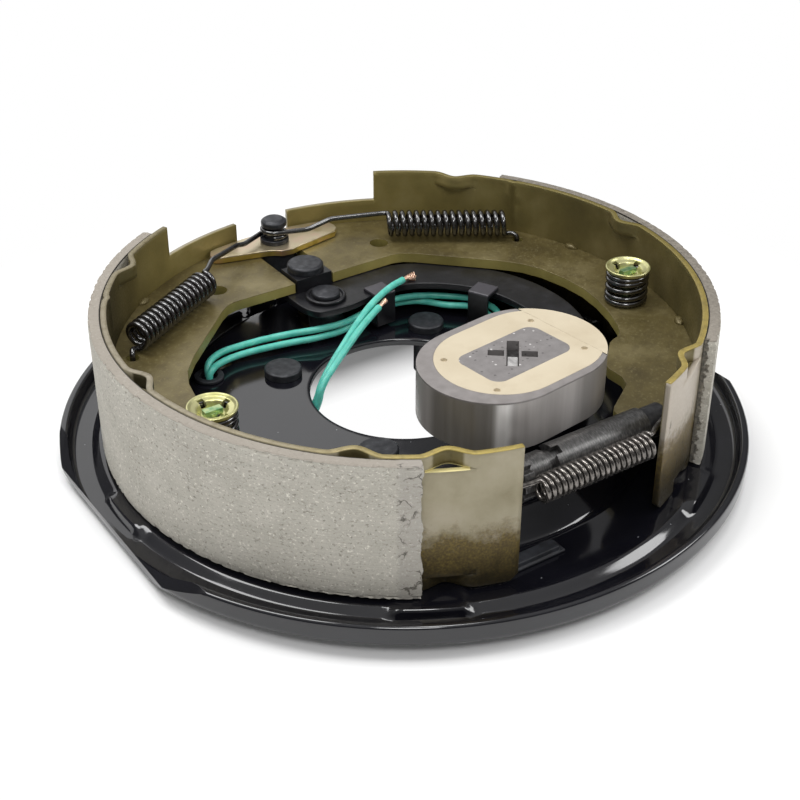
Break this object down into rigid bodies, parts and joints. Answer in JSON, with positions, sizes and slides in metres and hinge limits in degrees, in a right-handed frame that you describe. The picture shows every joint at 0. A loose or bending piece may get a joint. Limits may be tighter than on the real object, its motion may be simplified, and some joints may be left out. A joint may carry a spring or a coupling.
{
  "type": "electric drum brake",
  "caption": "Electric drum brake for a trailer axle: flanged backing plate, curved lined shoes, coil springs, screw adjuster and an oval magnet on a swinging arm.",
  "frame": {"origin": "on the spindle hole's axis, level with the ends of the mounting studs, on which the brake lies", "axes": "+Z along the wheel axis from the backing plate towards the shoes, +Y from the adjuster to the anchor post, +X towards the primary shoe"},
  "size_m": [0.272, 0.287, 0.0686],
  "materials": {
    "black_paint": "gloss black paint on pressed steel",
    "black_oxide": "satin black oxide on forged steel",
    "dark_steel": "dark phosphated steel",
    "arm_steel": "dark stamped steel, oiled",
    "yellow_zinc": "yellow zinc plating",
    "olive_zinc": "olive chromated steel",
    "friction_lining": "grey moulded friction material, ground",
    "black_spring": "black phosphated spring wire",
    "magnet_steel": "satin ground steel",
    "magnet_core": "ground steel pole face",
    "enamelled_copper": "enamelled copper winding",
    "magnet_face": "cream moulded friction face",
    "adjuster_steel": "bright zinc plated steel",
    "black_rubber": "moulded black rubber",
    "green_insulation": "green plastic insulation",
    "bare_copper": "bare stranded copper"
  },
  "bodies": {
    "plate": {"backing_plate": "black_paint", "mounting_studs": "black_oxide", "anchor_post": "black_oxide", "anchor_washer": "black_oxide", "guide_plate": "yellow_zinc", "arm_pivot_pin": "dark_steel", "arm_pivot_washer": "dark_steel", "primary_hold_pin": "yellow_zinc", "primary_hold_spring": "black_spring", "secondary_hold_pin": "yellow_zinc", "secondary_hold_spring": "black_spring", "primary_return_spring": "black_spring", "secondary_return_spring": "black_spring", "slot_plug": "black_rubber", "wire_grommet": "black_rubber", "lead_wire_a": "green_insulation", "lead_wire_b": "green_insulation", "lead_core_a": "bare_copper", "lead_core_b": "bare_copper"},
    "arm": {"actuating_arm": "arm_steel", "cam_block": "arm_steel", "cam_rivet": "black_oxide", "magnet_post": "dark_steel", "magnet_clip": "adjuster_steel", "magnet_spring": "adjuster_steel"},
    "magnet": {"magnet_housing": "magnet_steel", "magnet_core": "magnet_core", "magnet_coil": "enamelled_copper", "magnet_face": "magnet_face"},
    "secondary_shoe": {"secondary_web": "olive_zinc", "secondary_table": "olive_zinc", "secondary_lining": "friction_lining", "adjuster_fork": "dark_steel", "adjuster_barrel": "adjuster_steel", "adjuster_socket": "dark_steel", "adjuster_spring": "black_spring"},
    "primary_shoe": {"primary_web": "olive_zinc", "primary_table": "olive_zinc", "primary_lining": "friction_lining"},
    "star": {"star_wheel": "adjuster_steel", "adjuster_screw": "adjuster_steel"},
    "primary_cup": {"primary_hold_cup": "yellow_zinc"},
    "secondary_cup": {"secondary_hold_cup": "yellow_zinc"}
  },
  "joints": [
    {"name": "arm_swing", "type": "hinge", "parent": "plate", "child": "arm", "pos_m": [-0.0015, 0.0595, 0.0374], "axis": [0, 0, 1], "range_deg": [-8, 0], "stiffness_Nm_per_rad": 6, "springref_deg": 5.73, "deforming": ["lead_wire_a", "lead_wire_b"]},
    {"name": "magnet_float", "type": "slide", "parent": "arm", "child": "magnet", "axis": [0, 0, 1], "range_m": [-0.003, 0], "stiffness_N_per_m": 3000, "springref_m": 0.004, "deforming": ["magnet_spring"]},
    {"name": "secondary_pivot", "type": "hinge", "parent": "plate", "child": "secondary_shoe", "pos_m": [0, 0.107, 0.04165], "axis": [0, 0, 1], "range_deg": [-0.4, 0], "deforming": ["secondary_return_spring"]},
    {"name": "primary_pivot", "type": "hinge", "parent": "secondary_shoe", "child": "primary_shoe", "pos_m": [0.0455, -0.0995, 0.04165], "axis": [0, 0, 1], "range_deg": [-0.88, 0], "deforming": ["primary_return_spring", "adjuster_spring"]},
    {"name": "star_wheel_turn", "type": "hinge", "parent": "secondary_shoe", "child": "star", "pos_m": [-0.0195, -0.0995, 0.04165], "axis": [1, 0, 0], "continuous": true},
    {"name": "primary_cup_press", "type": "slide", "parent": "plate", "child": "primary_cup", "axis": [0, 0, 1], "range_m": [-0.003, 0], "stiffness_N_per_m": 3000, "springref_m": 0.006, "deforming": ["primary_hold_spring"]},
    {"name": "secondary_cup_press", "type": "slide", "parent": "plate", "child": "secondary_cup", "axis": [0, 0, 1], "range_m": [-0.003, 0], "stiffness_N_per_m": 3000, "springref_m": 0.006, "deforming": ["secondary_hold_spring"]}
  ],
  "couplings": [
    {"joint": "secondary_pivot", "follows": "arm_swing", "ratio": 0.05},
    {"joint": "primary_pivot", "follows": "arm_swing", "ratio": 0.11}
  ]
}
